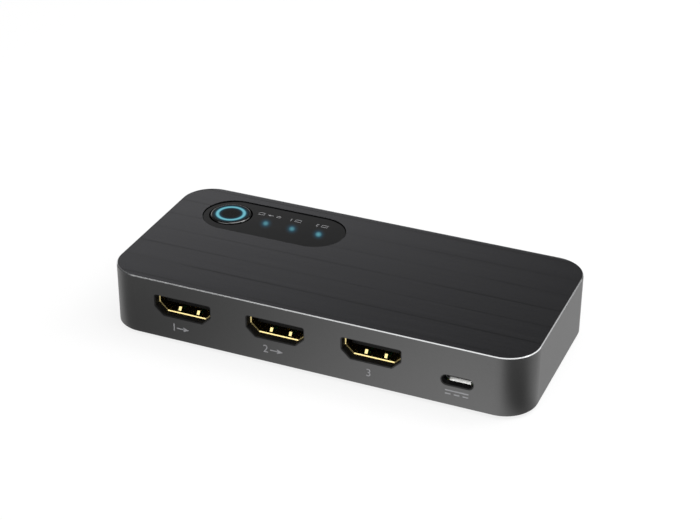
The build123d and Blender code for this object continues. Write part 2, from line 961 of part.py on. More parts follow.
def make_light_shroud():
    """A collar round the button's flange and a bar that holds the light pipes, standing on the board."""
    height = deck_under - board_top
    bar_length = shroud_right - button_x
    body = post(button_x, button_y, board_top, shroud_radius, height)
    body += block(button_x + bar_length / 2, lamp_y, board_top, bar_length, shroud_bar_width, height)
    body -= bore(button_x, button_y, board_top, shroud_bore, height)
    head_z = deck_under - pipe_head_height - pipe_gap
    for x, y in lamp_places:
        body -= bore(x, y, board_top, pipe_radius + pipe_gap, height)
        body -= post(x, y, head_z, pipe_head_radius + pipe_gap, pipe_head_height + pipe_gap + overrun)
        body -= post(x, y, board_top - overrun, lamp_pocket_radius, lamp_pocket_height + overrun)
    for x, y in shroud_peg_places:
        body += post(x, y, board_top - shroud_peg_length, shroud_peg_radius, shroud_peg_length + overrun)
    return body


def make_light_pipe(x, y):
    floor = lamp_top + pipe_above_lamp
    head_z = deck_under - pipe_head_height
    body = post(x, y, floor, pipe_radius, head_z - floor)
    body += post(x, y, head_z, pipe_head_radius, pipe_head_height)
    return body + post(x, y, deck_under, pipe_tip_radius, window_under - pipe_tip_gap - deck_under)


def make_lamp(x, y, turn):
    body = Box(lamp_length, lamp_width, lamp_base, align=low)
    body += Pos(0, 0, lamp_base) * Box(lamp_lens_length, lamp_width, lamp_lens, align=low)
    return Pos(x, y, board_top) * Rot(0, 0, turn) * body


def gull_lead(x, y, turn, body_half, width):
    """A bent lead that leaves a package's side and ends in a foot on the board."""
    mid = chip_lift + chip_body_height / 2
    shoulder = lead_reach - lead_foot
    run = Pos(body_half + shoulder / 2, 0, mid) * Box(shoulder, width, lead_thickness, align=low)
    drop = Pos(body_half + shoulder, 0, 0) * Box(lead_thickness, width, mid + lead_thickness, align=low)
    foot_x = body_half + shoulder + lead_foot / 2
    foot = Pos(foot_x, 0, 0) * Box(lead_foot, width, lead_thickness, align=low)
    return Pos(x, y, board_top) * Rot(0, 0, turn) * (run + drop + foot)


def make_splitter_chip():
    """A square flat package with leads on its four sides."""
    body = block(chip_x, chip_y, board_top + chip_lift, chip_side, chip_side, chip_body_height)
    leads = []
    for side in range(4):
        turn = side * quarter_turn
        for k in range(chip_leads_per_side):
            along = (k - (chip_leads_per_side - 1) / 2) * lead_pitch
            dx, dy = -along * sin(radians(turn)), along * cos(radians(turn))
            leads.append(gull_lead(chip_x + dx, chip_y + dy, turn, chip_side / 2, lead_width))
    return body + leads


def make_heat_pad():
    z = board_top + chip_lift + chip_body_height
    return block(chip_x, chip_y, z, pad_side, pad_side, pad_thickness)


def make_heat_sink():
    z = board_top + chip_lift + chip_body_height + pad_thickness
    body = block(chip_x, chip_y, z, sink_side, sink_side, sink_base)
    step = (sink_side - sink_fin_thickness) / (sink_fins - 1)
    fin_height = deck_under - sink_headroom - z - sink_base
    fins = []
    for k in range(sink_fins):
        y = chip_y + (k - (sink_fins - 1) / 2) * step
        fins.append(block(chip_x, y, z + sink_base, sink_side, sink_fin_thickness, fin_height))
    return body + fins


def make_memory_chip():
    body = block(memory_x, chip_y, board_top + chip_lift, memory_length, memory_width, memory_height)
    leads = []
    for turn in (quarter_turn, -quarter_turn):
        for k in range(memory_leads):
            along = (k - (memory_leads - 1) / 2) * memory_lead_pitch
            leads.append(gull_lead(memory_x + along, chip_y, turn, memory_width / 2, lead_width))
    return body + leads


def make_regulator():
    y = power_rear + regulator_behind
    body = block(power_x, y, board_top + chip_lift, regulator_length, regulator_width, regulator_height)
    leads = [gull_lead(power_x, y, quarter_turn, regulator_width / 2, regulator_tab)]
    for k in range(regulator_leads):
        along = (k - (regulator_leads - 1) / 2) * regulator_lead_pitch
        leads.append(gull_lead(power_x + along, y, -quarter_turn, regulator_width / 2, lead_width))
    return body + leads


def make_power_inductor():
    y = power_rear + inductor_behind
    outline = RectangleRounded(inductor_side, inductor_side, inductor_corner)
    body = slab(outline, power_x, y, board_top, inductor_height)
    return body + post(power_x, y, board_top, inductor_core_radius, inductor_height + inductor_core_proud)


def make_clock_crystal():
    flange = SlotOverall(crystal_flange_length, crystal_flange_width, rotation=quarter_turn)
    can = SlotOverall(crystal_length, crystal_width, rotation=quarter_turn)
    body = slab(flange, crystal_x, crystal_y, board_top, crystal_flange)
    return body + slab(can, crystal_x, crystal_y, board_top, crystal_height)


def make_smoothing_capacitors():
    cans = []
    for x, y in can_places:
        base = block(x, y, board_top, can_base_side, can_base_side, can_base_height)
        can = post(x, y, board_top, can_radius, can_base_height + can_height)
        can = fillet(can.edges().group_by(Axis.Z)[-1], can_crown)
        cans.append((base + can).solid())
    return Compound(children=cans)


def row_of_blocks(count, pitch, x, y, length, width, height):
    """Small blocks side by side on the board, their length front to back."""
    blocks = []
    for k in range(count):
        px = x + (k - (count - 1) / 2) * pitch
        blocks.append(block(px, y, board_top, width, length, height).solid())
    return blocks


def row_of_chip_parts(count, x, y, height):
    """A row of the smallest parts."""
    return row_of_blocks(count, chip_part_pitch, x, y, chip_part_length, chip_part_width, height)


def make_resistors():
    return Compound(children=row_of_chip_parts(resistor_count, resistor_x, resistor_y, chip_part_height))


def make_ceramic_capacitors():
    return Compound(children=row_of_chip_parts(capacitor_count, chip_x, capacitor_y, capacitor_height))


def make_signal_chokes():
    size = (choke_width, choke_length, choke_height)
    parts = []
    for x in video_places:
        parts += row_of_blocks(choke_count, choke_pitch, x, choke_y, *size)
    return Compound(children=parts)


def make_surge_arrays():
    size = (array_width, array_length, array_height)
    parts = []
    for x in video_places:
        parts += row_of_blocks(array_count, array_pitch, x, array_y, *size)
    return Compound(children=parts)


def main():
    os.makedirs("parts", exist_ok=True)
    save("housing", make_housing())
    save("top_plate", make_top_plate())
    save("plate_adhesive", make_plate_adhesive())
    save("indicator_window", make_window())
    save("window_adhesive", make_window_adhesive())
    save("port_liner", make_port_liner())
    save("bottom_cover", make_bottom_cover())
    cover_seat = cover_under + counterbore_depth
    save("cover_screws", Compound(children=[make_screw(x, y, cover_seat) for x, y in corner_places]))
    for k, (x, y) in enumerate(foot_places, 1):
        save(f"foot_{k}", make_foot(x, y))
    save("circuit_board", make_circuit_board())
    save("board_screws", Compound(children=[make_screw(x, y, board_under) for x, y in board_boss_places]))
    for k, x in enumerate(video_places, 1):
        contacts = make_video_contacts(x)
        save(f"video_shell_{k}", make_video_shell(x))
        save(f"video_tongue_{k}", make_video_tongue(x, contacts))
        save(f"video_contacts_{k}", contacts)
    contacts = make_power_contacts()
    save("power_shell", make_power_shell())
    save("power_tongue", make_power_tongue(contacts))
    save("power_contacts", contacts)
    save("button_cap", make_button_cap())
    save("button_light_ring", make_light_ring())
    save("button_centre", make_button_centre())
    save("switch_base", make_switch_base())
    save("switch_cover", make_switch_cover())
    save("switch_plunger", make_switch_plunger())
    save("switch_dome", make_switch_dome())
    save("switch_terminals", make_switch_terminals())
    save("light_shroud", make_light_shroud())
    for k, (x, y) in enumerate(lamp_places, 1):
        save(f"light_pipe_{k}", make_light_pipe(x, y))
        save(f"indicator_led_{k}", make_lamp(x, y, 0))
    for k, (x, y, turn) in enumerate(ring_lamp_places, 1):
        save(f"ring_led_{k}", make_lamp(x, y, turn + quarter_turn))
    save("splitter_chip", make_splitter_chip())
    save("heat_pad", make_heat_pad())
    save("heat_sink", make_heat_sink())
    save("memory_chip", make_memory_chip())
    save("regulator", make_regulator())
    save("power_inductor", make_power_inductor())
    save("clock_crystal", make_clock_crystal())
    save("smoothing_capacitors", make_smoothing_capacitors())
    save("resistors", make_resistors())
    save("ceramic_capacitors", make_ceramic_capacitors())
    save("signal_chokes", make_signal_chokes())
    save("surge_arrays", make_surge_arrays())


main()
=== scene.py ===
"""Dresses a small video splitter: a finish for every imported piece, its printed marks and a plain studio.

Metres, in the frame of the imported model: X runs right along the socket face, Y to the back, Z up.
"""

import math

import bpy
from bpy.props import FloatProperty, FloatVectorProperty, PointerProperty
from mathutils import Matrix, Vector


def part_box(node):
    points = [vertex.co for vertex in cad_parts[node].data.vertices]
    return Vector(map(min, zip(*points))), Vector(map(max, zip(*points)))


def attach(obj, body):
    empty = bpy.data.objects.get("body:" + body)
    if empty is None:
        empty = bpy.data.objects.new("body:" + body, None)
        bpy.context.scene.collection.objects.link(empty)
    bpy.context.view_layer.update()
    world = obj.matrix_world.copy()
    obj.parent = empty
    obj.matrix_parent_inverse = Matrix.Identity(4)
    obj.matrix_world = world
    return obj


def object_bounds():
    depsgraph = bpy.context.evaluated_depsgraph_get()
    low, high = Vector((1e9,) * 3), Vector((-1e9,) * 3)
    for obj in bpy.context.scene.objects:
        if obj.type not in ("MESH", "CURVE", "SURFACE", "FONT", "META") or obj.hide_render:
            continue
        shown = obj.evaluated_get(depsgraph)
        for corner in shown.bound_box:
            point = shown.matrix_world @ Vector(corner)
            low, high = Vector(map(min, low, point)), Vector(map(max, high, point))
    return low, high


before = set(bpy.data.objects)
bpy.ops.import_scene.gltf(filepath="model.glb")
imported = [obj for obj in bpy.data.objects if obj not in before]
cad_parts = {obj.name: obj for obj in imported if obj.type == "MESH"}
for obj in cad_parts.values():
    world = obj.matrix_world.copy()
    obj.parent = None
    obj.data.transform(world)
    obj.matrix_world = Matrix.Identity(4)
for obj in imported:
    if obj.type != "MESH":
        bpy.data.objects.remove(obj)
cad_low, cad_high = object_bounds()

bl_info = {
    "name": "Video splitter",
    "version": (1, 0, 0),
    "blender": (4, 5, 0),
    "location": "3D View > Sidebar > Splitter",
    "description": "Finishes, printed marks and a studio for a small video splitter",
    "category": "Object",
}

MM = 0.001
CASING = "casing"


def linear(hex_colour):
    """An sRGB hex colour as linear red, green and blue."""
    channels = []
    for start in (0, 2, 4):
        level = int(hex_colour[start:start + 2], 16) / 255
        if level <= 0.04045:
            channels.append(level / 12.92)
        else:
            channels.append(((level + 0.055) / 1.055) ** 2.4)
    return tuple(channels)


def opaque(colour):
    """A linear colour with full alpha, as a node's socket wants it."""
    return (*colour[:3], 1.0)


def colour_property(name, description, hex_colour):
    return FloatVectorProperty(
        name=name,
        description=description,
        default=linear(hex_colour),
        subtype="COLOR",
        size=3,
        min=0,
        max=1,
    )


def length_property(name, description, millimetres):
    return FloatProperty(
        name=name,
        description=description,
        default=millimetres * MM,
        unit="LENGTH",
        subtype="DISTANCE",
        precision=5,
    )


class SplitterFinish(bpy.types.PropertyGroup):
    """Colours and lit areas of the splitter"""

    shell: colour_property("Shell", "Dyed anodic film on the housing", "5a5a5a")
    rim: colour_property("Rim", "Cut and polished chamfer round the top", "e0e1e2")
    plate: colour_property("Plate", "Dyed anodic film on the brushed top plate", "58585b")
    window: colour_property("Window", "Smoked sheet of the indicator window", "0a0a0b")
    light: colour_property("Light", "Colour of the lit ring and lamps", "66b5c4")
    gilt: colour_property("Gilt", "Thin gold plating of the video sockets", "e8d392")
    mark: colour_property("Marks", "Laser-marked signs", "98989b")
    spill: colour_property("Spill", "Colour of the ring's and lamps' light where it fades out", "0f3d4e")
    ring_radius: length_property("Ring radius", "Middle of the lit ring", 3.4)
    spot_radius: length_property("Spot radius", "Bright middle of a lamp seen through the window", 0.85)
    spot_reach: length_property("Spot reach", "Where a lamp's glow in the window ends", 2.0)


class SplitterMarks(bpy.types.PropertyGroup):
    """Sizes of the signs on the face and on the window"""

    face_height: length_property("Face mark height", "Height of the signs under the sockets", 2.0)
    face_level: length_property("Face mark level", "Middle of those signs above the table", 4.35)
    window_height: length_property("Window mark height", "Height of the signs behind the lamps", 1.15)
    window_step: length_property("Window mark step", "From a lamp's middle to the sign behind it", 4.25)
    window_shift: length_property("Window mark shift", "From a lamp's middle to the middle of its sign", -0.7)
    face_shift: length_property("Face mark shift", "From a video socket's middle to its sign's", -0.5)
    gap: length_property("Gap", "Between a number and the arrow beside it", 0.75)
    film: length_property("Film", "Thickness of the marked film, half of it proud", 0.02)


class SplitterStudio(bpy.types.PropertyGroup):
    """Camera, floor and graded card"""

    lens: FloatProperty(
        name="Lens",
        description="Focal length that gives the photograph's perspective on a 36 mm sensor",
        default=89.466,
        min=1,
    )
    camera_place: FloatVectorProperty(
        name="Camera place",
        description="Where the camera stands",
        default=(0.138699, -0.333280, 0.222775),
        size=3,
        unit="LENGTH",
        subtype="TRANSLATION",
    )
    camera_turn: FloatVectorProperty(
        name="Camera turn",
        description="How the camera is turned",
        default=tuple(math.radians(a) for a in (60.4393, -0.3408, 22.7567)),
        size=3,
        unit="ROTATION",
        subtype="EULER",
    )
    floor: colour_property("Floor", "Pale paper under the splitter", "fafafa")
    floor_width: length_property("Floor width", "Side of the square floor", 6000)
    card_levels: FloatVectorProperty(
        name="Card levels",
        description="Light of the graded card at its left and at its right",
        default=(0.4, 1.66),
        size=2,
        min=0,
    )


def add_node(tree, kind, settings=None, values=None, links=None):
    """Adds one node with its settings, the values of its sockets and the links into it."""
    node = tree.nodes.new(kind)
    for name, value in (settings or {}).items():
        setattr(node, name, value)
    for name, value in (values or {}).items():
        node.inputs[name].default_value = value
    for name, source in (links or {}).items():
        tree.links.new(source, node.inputs[name])
    return node


def start_material(name):
    """A new material's node tree, and the coordinates of the piece in metres."""
    material = bpy.data.materials.new(name)
    material.use_nodes = True
    tree = material.node_tree
    tree.nodes.clear()
    place = add_node(tree, "ShaderNodeTexCoord").outputs["Object"]
    return material, tree, place


def end_material(material, tree, shader):
    add_node(tree, "ShaderNodeOutputMaterial", links={"Surface": shader})
    return material


def math_node(tree, operation, first, second=None):
    """The result of one sum. A number is typed into its socket, and a socket is linked to it."""
    node = add_node(tree, "ShaderNodeMath", {"operation": operation})
    for socket, value in zip(node.inputs, (first, second)):
        if value is None:
            continue
        if isinstance(value, (int, float)):
            socket.default_value = value
        else:
            tree.links.new(value, socket)
    return node.outputs["Value"]


def fade(tree, value, start, end, low=0.0, high=1.0, curve="SMOOTHSTEP"):
    """Maps a value from start to end onto low to high, held at both ends."""
    return add_node(
        tree,
        "ShaderNodeMapRange",
        {"interpolation_type": curve},
        {"From Min": start, "From Max": end, "To Min": low, "To Max": high},
        {"Value": value},
    ).outputs["Result"]


def stretched(tree, place, along):
    """Coordinates with each axis scaled, to draw a pattern out along one of them."""
    return add_node(
        tree,
        "ShaderNodeMapping",
        values={"Scale": along},
        links={"Vector": place},
    ).outputs["Vector"]


def noise(tree, place, size, detail=2.0, roughness=0.5):
    """Soft random levels with features of about the given size in metres."""
    return add_node(
        tree,
        "ShaderNodeTexNoise",
        values={"Scale": 1 / size, "Detail": detail, "Roughness": roughness},
        links={"Vector": place},
    ).outputs["Fac"]


def spread_noise(tree, level, low=0.0, high=1.0, curve="SMOOTHSTEP"):
    """Maps the levels that soft noise mostly takes, 0.3 to 0.7, onto low to high."""
    return fade(tree, level, 0.3, 0.7, low, high, curve)


def blend_colours(tree, factor, first, second):
    """A colour between two, each a linear colour or another node's output."""
    node = add_node(tree, "ShaderNodeMix", {"data_type": "RGBA"}, links={"Factor": factor})
    for socket, colour in zip((node.inputs[6], node.inputs[7]), (first, second)):
        if isinstance(colour, tuple):
            socket.default_value = opaque(colour)
        else:
            tree.links.new(colour, socket)
    return node.outputs[2]


def bumped(tree, height, distance):
    """A surface normal pushed about by a height."""
    return add_node(
        tree,
        "ShaderNodeBump",
        values={"Distance": distance, "Strength": 1.0},
        links={"Height": height},
    ).outputs["Normal"]


def principled(tree, values, links=None):
    return add_node(tree, "ShaderNodeBsdfPrincipled", values=values, links=links).outputs["BSDF"]


def shade_between(tree, factor, first, second):
    """One shader where the factor is 0 and the other where it is 1."""
    node = add_node(tree, "ShaderNodeMixShader", links={"Fac": factor})
    tree.links.new(first, node.inputs[1])
    tree.links.new(second, node.inputs[2])
    return node.outputs["Shader"]


def grained_shader(tree, place, colour, other, rough, grain, depth, metallic=0.0, ior=1.5, drawn=(1, 1, 1)):
    """A surface with one grain: it tints the colour, moves the roughness and lifts the surface.

    colour and other are the grain's two linear colours, rough its lowest and highest roughness, grain
    its size and depth its height in metres, and drawn stretches it along an axis.
    """
    level = noise(tree, stretched(tree, place, drawn), grain, detail=3.0)
    return principled(
        tree,
        {"Metallic": metallic, "IOR": ior},
        {
            "Base Color": blend_colours(tree, level, colour, other),
            "Roughness": spread_noise(tree, level, *rough, curve="LINEAR"),
            "Normal": bumped(tree, level, depth),
        },
    )


def grained_material(name, colour, other, rough, grain, depth, metallic=0.0, ior=1.5, drawn=(1, 1, 1)):
    material, tree, place = start_material(name)
    shader = grained_shader(tree, place, colour, other, rough, grain, depth, metallic, ior, drawn)
    return end_material(material, tree, shader)


def axis_of(tree, place, axis):
    """One coordinate of the piece, in metres."""
    return add_node(tree, "ShaderNodeSeparateXYZ", links={"Vector": place}).outputs[axis]


def distance_from(tree, place, x, y, oblong=1.0, turn=0.0):
    """How far a point lies from an upright line, in metres.

    The rings of equal distance are ovals, oblong times longer along Y after a turn to the left.
    """
    height_share = 1000.0
    seen = add_node(
        tree,
        "ShaderNodeMapping",
        {"vector_type": "TEXTURE"},
        {"Location": (x, y, 0.0), "Rotation": (0.0, 0.0, turn), "Scale": (1.0, oblong, height_share)},
        {"Vector": place},
    ).outputs["Vector"]
    return add_node(tree, "ShaderNodeVectorMath", {"operation": "LENGTH"}, links={0: seen}).outputs["Value"]


def middle_of(node):
    low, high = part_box(node)
    return (low + high) / 2


def anodised_aluminium(finish):
    """Bead-blasted and dyed aluminium with a diamond-cut rim.

    Blasting gives a soft, even sheen with a fine sparkle, drawn at 0.2 mm because the real 0.05 mm pits
    don't show, and the cut chamfer shows bare bright metal with faint turning lines.
    """
    chamfer_drop = 0.19 * MM
    blur = 0.01 * MM
    rim_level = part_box("housing")[1].z - chamfer_drop
    material, tree, place = start_material("bead_blasted_anodised_aluminium")
    body = grained_shader(
        tree, place, tuple(finish.shell), tuple(c * 0.9 for c in finish.shell),
        (0.40, 0.47), 0.2 * MM, 0.0012 * MM, metallic=1.0,
    )
    lines = noise(tree, stretched(tree, place, (1, 1, 30)), 2 * MM)
    rim = principled(
        tree,
        {"Metallic": 1.0, "Base Color": opaque(finish.rim)},
        {"Roughness": spread_noise(tree, lines, 0.13, 0.2)},
    )
    cut = fade(tree, axis_of(tree, place, "Z"), rim_level - blur, rim_level + blur)
    return end_material(material, tree, shade_between(tree, cut, body, rim))


def brushed_aluminium(finish):
    """Brushed and dyed aluminium sheet.

    The belt leaves hairlines along the length, drawn 0.25 mm wide and 40 mm long so that they show, soft
    bands 2 mm wide, and a thin darker line at each 7.5 mm, where two strokes of the belt meet.
    """
    line_shift = 0.15 * MM
    half_step = 3.75 * MM
    hair_share = 0.6
    line_strength = 0.6
    material, tree, place = start_material("brushed_anodised_aluminium")
    hair = noise(tree, stretched(tree, place, (1 / 160, 1, 1)), 0.25 * MM, detail=4.0, roughness=0.6)
    bands = noise(tree, stretched(tree, place, (1 / 60, 1, 1)), 2 * MM, detail=1.0)
    across = math_node(tree, "SUBTRACT", axis_of(tree, place, "Y"), line_shift)
    off_line = math_node(tree, "PINGPONG", across, half_step)
    line = fade(tree, off_line, 0.08 * MM, 0.4 * MM, 1.0, 0.0)
    # The lines come and go along the plate
    presence = fade(tree, noise(tree, stretched(tree, place, (1 / 8, 1, 1)), 3 * MM), 0.3, 0.6, 0.3, 1.0)
    line = math_node(tree, "MULTIPLY", line, presence)
    fine = math_node(tree, "MULTIPLY", hair, hair_share)
    broad = math_node(tree, "MULTIPLY", bands, 1 - hair_share)
    tint = math_node(tree, "ADD", fine, broad)
    light = tuple(c * 1.06 for c in finish.plate)
    dark = tuple(c * 0.94 for c in finish.plate)
    line_colour = tuple(c * 0.4 for c in dark)
    hairlines = blend_colours(tree, spread_noise(tree, tint, curve="LINEAR"), dark, light)
    colour = blend_colours(tree, math_node(tree, "MULTIPLY", line, line_strength), hairlines, line_colour)
    shader = principled(
        tree,
        {"Metallic": 1.0},
        {
            "Base Color": colour,
            "Roughness": spread_noise(tree, hair, 0.21, 0.25),
            "Normal": bumped(tree, hair, 0.0006 * MM),
        },
    )
    return end_material(material, tree, shader)


def lit_colour(tree, glow, finish):
    """The light's colour where the glow is full, its deeper spill where it is weak, and black past that."""
    weak = blend_colours(
        tree, fade(tree, glow, 0.0, 0.35, curve="LINEAR"), (0.0, 0.0, 0.0), tuple(finish.spill)
    )
    return blend_colours(tree, fade(tree, glow, 0.3, 1.0, curve="LINEAR"), weak, tuple(finish.light))


def smoked_acrylic(finish):
    """Cast acrylic sheet, smoked nearly black.

    Polished, with a mirror-like top. Over each lamp under it, a soft oval spot of the lamp's light is painted
    on as emission, leaned back and to the left.
    """
    core_levels = (0.36, 0.36, 0.46)
    halo_level = 0.25
    lean = math.radians(23)
    material, tree, place = start_material("smoked_acrylic")
    glow = None
    # Painted light: each lamp's spot is emission on the window's top, not light coming through it
    for k, core_level in enumerate(core_levels, 1):
        lamp = middle_of(f"light_pipe_{k}")
        away = distance_from(tree, place, lamp.x, lamp.y, oblong=1.7, turn=lean)
        core = fade(tree, away, 0.0, finish.spot_radius * 1.6, core_level, 0.0)
        halo = fade(tree, away, 0.0, finish.spot_reach, halo_level, 0.0)
        spot = math_node(tree, "ADD", core, halo)
        glow = spot if glow is None else math_node(tree, "ADD", glow, spot)
    wave = noise(tree, place, 4 * MM)
    shader = principled(
        tree,
        {
            "Base Color": opaque(finish.window),
            "Roughness": 0.07,
            "IOR": 1.49,
            "Specular IOR Level": 0.25,
            "Emission Strength": 1.0,
        },
        {
            "Emission Color": lit_colour(tree, glow, finish),
            "Normal": bumped(tree, wave, 0.004 * MM),
        },
    )
    return end_material(material, tree, shader)


def ring_glow(tree, place, finish):
    """Painted light in the button: a full band of emission at the ring and a soft spill to both sides."""
    button = middle_of("button_cap")
    away = distance_from(tree, place, button.x, button.y)
    off_ring = math_node(tree, "ABSOLUTE", math_node(tree, "SUBTRACT", away, finish.ring_radius))
    band_level = 0.68
    spill_level = 0.28
    band = fade(tree, off_ring, 0.05 * MM, 0.7 * MM, band_level, 0.0)
    spill = fade(tree, off_ring, 0.2 * MM, 1.4 * MM, spill_level, 0.0)
    return math_node(tree, "ADD", band, spill)


def lit_plastic(tree, place, finish, hex_colour, roughness, ior, mirror):
    """Smooth moulded plastic of a button piece, with part of the ring's light painted on it as emission."""
    grain = noise(tree, place, 0.4 * MM)
    return principled(
        tree,
        {
            "Base Color": opaque(linear(hex_colour)),
            "IOR": ior,
            "Specular IOR Level": mirror,
            "Emission Strength": 1.0,
        },
        {
            "Emission Color": lit_colour(tree, ring_glow(tree, place, finish), finish),
            "Roughness": spread_noise(tree, grain, roughness * 0.85, roughness * 1.15),
            "Normal": bumped(tree, grain, 0.0015 * MM),
        },
    )


def black_button_abs(finish):
    """Injection-moulded black ABS: a dull flat top, and a polished rolled edge that catches the lamps."""
    button = middle_of("button_cap")
    black = "060606"
    ior = 1.53
    flat_radius = 4.7 * MM
    rolled_radius = 4.8 * MM
    material, tree, place = start_material("moulded_black_abs")
    # The flat top and the centre carry a painted glow: the ring's light spilling onto them is emission
    flat = lit_plastic(tree, place, finish, black, 0.3, ior, 0.06)
    edge = principled(
        tree,
        {"Base Color": opaque(linear(black)), "Roughness": 0.08, "IOR": ior, "Specular IOR Level": 1.0},
    )
    rolled = fade(tree, distance_from(tree, place, button.x, button.y), flat_radius, rolled_radius)
    return end_material(material, tree, shade_between(tree, rolled, flat, edge))


def milky_polycarbonate(finish):
    """Moulded polycarbonate with a diffusing filler: an even, milky light."""
    material, tree, place = start_material("diffusing_polycarbonate")
    # The ring's light is painted on as emission
    return end_material(material, tree, lit_plastic(tree, place, finish, "10262c", 0.28, 1.585, 0.2))


def black_liner_abs():
    """Black ABS moulded in a spark-eroded tool: flat matt walls that swallow the light."""
    return grained_material(
        "matt_black_abs", linear("0d0d0e"), linear("080809"), (0.5, 0.62), 0.12 * MM, 0.002 * MM, ior=1.53
    )


def textured_cover_abs():
    """Black ABS moulded in a textured tool: a leathery 0.5 mm grain with a low sheen."""
    return grained_material(
        "textured_black_abs", linear("1d1d1f"), linear("141415"), (0.48, 0.66), 0.5 * MM, 0.012 * MM, ior=1.53
    )


def socket_resin():
    """Glass-filled black resin of the tongues: smooth, faintly grey along the flow."""
    return grained_material(
        "glass_filled_resin", linear("0a0a0a"), linear("050505"), (0.45, 0.6), 0.3 * MM, 0.001 * MM,
        ior=1.3, drawn=(1, 0.2, 1),
    )


def gold_plating(finish):
    """Flash gold over stamped steel: warm and bright, with faint drawing lines along the depth."""
    colour = tuple(finish.gilt)
    return grained_material(
        "flash_gold_plating", colour, tuple(c * 0.86 for c in colour), (0.2, 0.3), 0.25 * MM,
        0.0008 * MM, metallic=1.0, drawn=(1, 0.1, 1),
    )


def tin_plating():
    """Matt tin over stamped steel: pale grey, soft reflections, slightly clouded."""
    return grained_material(
        "matt_tin_plating", linear("e2e2e0"), linear("cdcdcb"), (0.28, 0.4), 0.5 * MM, 0.001 * MM,
        metallic=1.0,
    )


def zinc_plated_steel():
    """Cold-headed steel screws, zinc plated and clear passivated: cool grey with a light mottle."""
    return grained_material(
        "clear_passivated_zinc", linear("c3c6ca"), linear("a4a7aa"), (0.26, 0.4), 0.35 * MM, 0.002 * MM,
        metallic=1.0,
    )


def stainless_spring():
    """Rolled stainless strip of the switch: bright, with fine lines along the roll."""
    return grained_material(
        "rolled_stainless_steel", linear("c9c8c5"), linear("b1b0ad"), (0.2, 0.3), 0.1 * MM, 0.0008 * MM,
        metallic=1.0, drawn=(0.05, 1, 1),
    )


def moulded_rubber():
    """Moulded rubber foot: dull, dusty black with a mottled 0.4 mm grain."""
    return grained_material(
        "moulded_rubber", linear("222223"), linear("161616"), (0.75, 0.9), 0.4 * MM, 0.006 * MM, ior=1.52
    )


def acrylic_tape():
    """Double-sided acrylic tape: milky, slightly yellow, finely crazed."""
    return grained_material(
        "acrylic_tape", linear("cfccc0"), linear("bcb8aa"), (0.45, 0.6), 0.6 * MM, 0.002 * MM, ior=1.47
    )


def clear_polycarbonate():
    """Moulded clear polycarbonate of the light pipes: glass-like, with a slight flow haze."""
    material, tree, place = start_material("clear_polycarbonate")
    haze = noise(tree, place, 0.8 * MM)
    shader = principled(
        tree,
        {"Base Color": opaque(linear("e9f3f5")), "IOR": 1.585, "Transmission Weight": 1.0},
        {"Roughness": spread_noise(tree, haze, 0.03, 0.1)},
    )
    return end_material(material, tree, shader)


def lamp_package(finish):
    """White ceramic-filled lamp base under a clear epoxy lens that is lit."""
    material, tree, place = start_material("lit_lamp_epoxy")
    base_height = 0.3 * MM
    blur = 0.01 * MM
    base_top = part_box("indicator_led_1")[0].z + base_height
    lens = fade(tree, axis_of(tree, place, "Z"), base_top - blur, base_top + blur)
    body = grained_shader(
        tree, place, linear("e4e2da"), linear("d3d1c8"), (0.4, 0.55), 0.15 * MM, 0.001 * MM, ior=1.55
    )
    glow = fade(tree, noise(tree, place, 0.5 * MM), 0.2, 0.8, 0.7, 1.0)
    bulb = principled(
        tree,
        {"Base Color": opaque(linear("d9ecee")), "Roughness": 0.12, "IOR": 1.52, "Emission Strength": 1.5},
        {"Emission Color": lit_colour(tree, glow, finish)},
    )
    return end_material(material, tree, shade_between(tree, lens, body, bulb))


def circuit_laminate():
    """Glass-epoxy board under a green solder mask.

    Tracks 0.4 mm wide stand up faintly under the mask, the bare edges are straw yellow, and the glass
    cloth shows as a fine weave.
    """
    low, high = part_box("circuit_board")
    mask_depth = 0.04 * MM
    material, tree, place = start_material("masked_glass_epoxy")
    height = axis_of(tree, place, "Z")
    in_edge = math_node(
        tree, "MULTIPLY",
        math_node(tree, "GREATER_THAN", height, low.z + mask_depth),
        math_node(tree, "LESS_THAN", height, high.z - mask_depth),
    )
    cells = add_node(
        tree,
        "ShaderNodeTexBrick",
        {"offset": 0.5, "squash": 1.0},
        {
            "Scale": 1.0,
            "Brick Width": 6 * MM,
            "Row Height": 0.9 * MM,
            "Mortar Size": 0.2 * MM,
            "Mortar Smooth": 0.2,
        },
        {"Vector": place},
    ).outputs["Fac"]
    mask_colour = blend_colours(tree, cells, linear("0f4a2c"), linear("1d6a3f"))
    mask = principled(
        tree,
        {"IOR": 1.55},
        {
            "Base Color": mask_colour,
            "Roughness": spread_noise(tree, noise(tree, place, 0.5 * MM), 0.2, 0.3),
            "Normal": bumped(tree, cells, 0.03 * MM),
        },
    )
    edge = grained_shader(
        tree, place, linear("b9a76c"), linear("8f8352"), (0.6, 0.75), 0.2 * MM, 0.01 * MM, ior=1.55,
        drawn=(0.2, 0.2, 1),
    )
    return end_material(material, tree, shade_between(tree, in_edge, mask, edge))


def moulded_epoxy(node, lead_reach, lead_axes):
    """A chip: matt black moulded epoxy body, and tinned leads round it."""
    low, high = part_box(node)
    middle = (low + high) / 2
    material, tree, place = start_material(f"moulded_epoxy_{node}")
    past_body = None
    for axis in lead_axes:
        index = "XYZ".index(axis)
        half = (high[index] - low[index]) / 2 - lead_reach
        away = math_node(
            tree, "ABSOLUTE", math_node(tree, "SUBTRACT", axis_of(tree, place, axis), middle[index])
        )
        beyond = math_node(tree, "GREATER_THAN", away, half + 0.005 * MM)
        past_body = beyond if past_body is None else math_node(tree, "MAXIMUM", past_body, beyond)
    body = grained_shader(
        tree, place, linear("202021"), linear("171718"), (0.5, 0.65), 0.1 * MM, 0.003 * MM, ior=1.57
    )
    leads = grained_shader(
        tree, place, linear("cfcfcd"), linear("b4b4b2"), (0.3, 0.4), 0.3 * MM, 0.001 * MM, metallic=1.0
    )
    return end_material(material, tree, shade_between(tree, past_body, body, leads))


